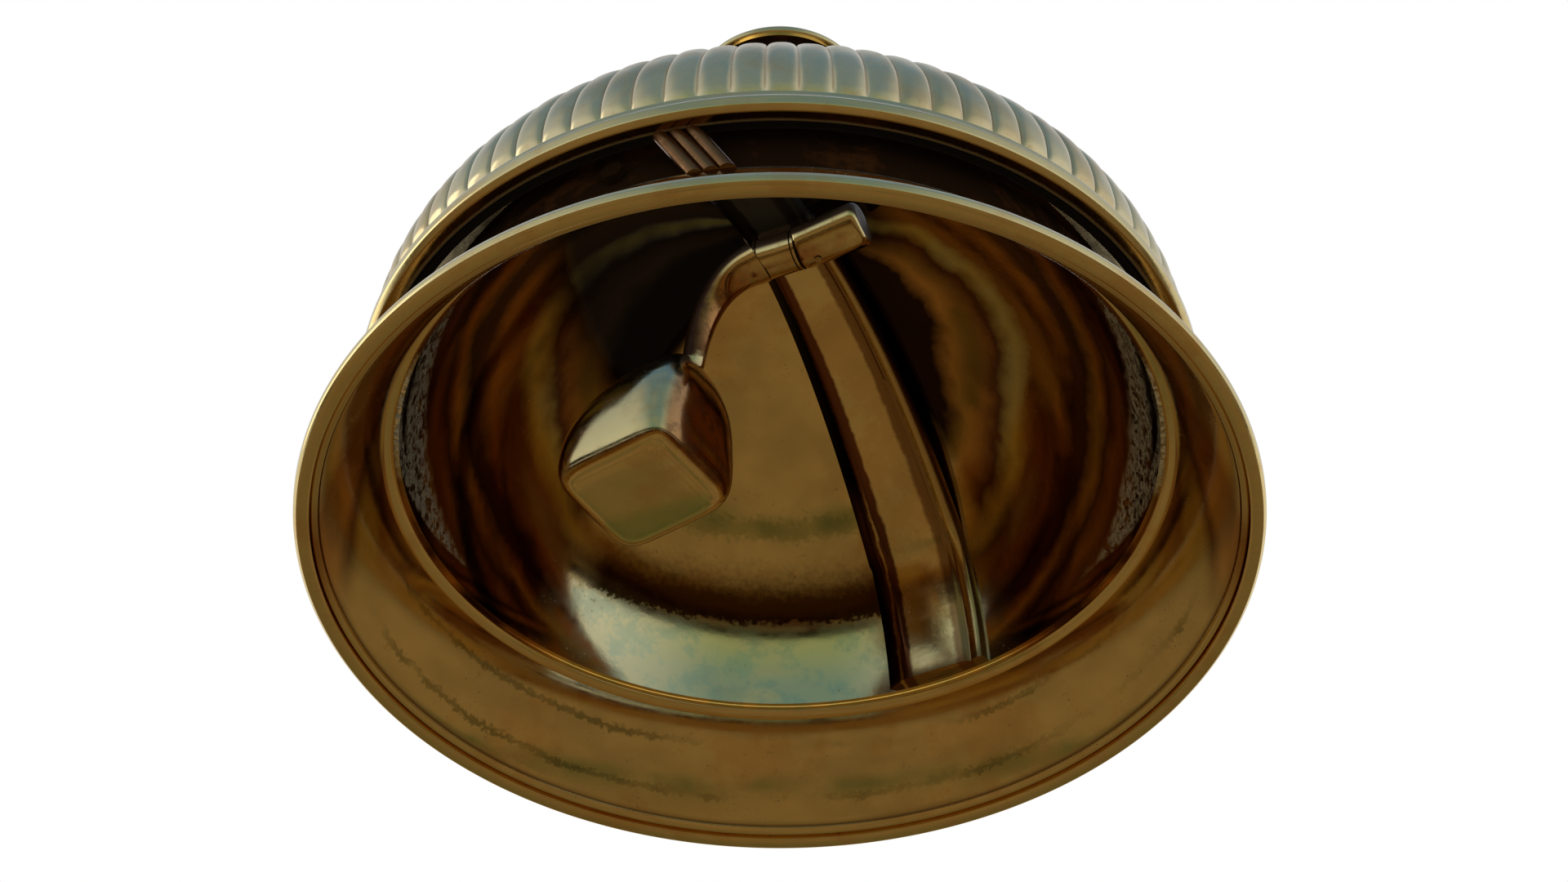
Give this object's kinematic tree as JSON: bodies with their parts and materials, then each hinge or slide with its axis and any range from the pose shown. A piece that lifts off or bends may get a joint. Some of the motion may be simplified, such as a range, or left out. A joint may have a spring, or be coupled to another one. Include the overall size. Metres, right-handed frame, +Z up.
{
  "type": "church bell",
  "caption": "Hanging brass bell with a fluted canopy dome, a flared mouth under an open gap, an arch strap inside and a hooked swinging clapper.",
  "frame": {"origin": "centre of the bore of the suspension eye, on the bell's vertical axis, at the very top", "axes": "+Z up; +Y along the bore of the suspension eye and along the arch strap inside; the clapper's bob hangs towards -X and swings about X"},
  "size_m": [0.3, 0.3, 0.209],
  "materials": {
    "fluted_brass": "polished, lightly mottled",
    "rim_brass": "polished",
    "turned_brass": "polished",
    "bell_brass": "polished, darker patina",
    "strap_brass": "polished, warm patina",
    "clapper_brass": "polished",
    "bush_bronze": "machined",
    "steel": "satin",
    "felt": "pressed felt"
  },
  "bodies": {
    "bell": {"fluted_dome": "fluted_brass", "dome_rim": "rim_brass", "crown_plate": "turned_brass", "crown_boss": "turned_brass", "neck_knop": "turned_brass", "top_cup": "turned_brass", "cup_washer": "steel", "suspension_eye": "turned_brass", "crown_staple": "clapper_brass", "felt_washer": "felt", "bell_waist": "bell_brass", "ledge_ring": "rim_brass", "mouth_flare": "bell_brass", "lip_band": "rim_brass", "crown_washer": "steel", "arch_strap": "strap_brass", "strap_screws": "turned_brass", "strap_nuts": "turned_brass", "bearing_bush": "bush_bronze", "rim_stays": "strap_brass"},
    "clapper": {"thrust_washers": "steel", "clapper_arm": "clapper_brass", "arm_head": "clapper_brass", "head_pin": "steel", "clapper_bob": "clapper_brass", "bob_pin": "steel"}
  },
  "joints": [
    {"name": "clapper_swing", "type": "hinge", "parent": "bell", "child": "clapper", "pos_m": [0, 0, -0.0878], "axis": [1, 0, 0], "range_deg": [-48, 48]}
  ]
}
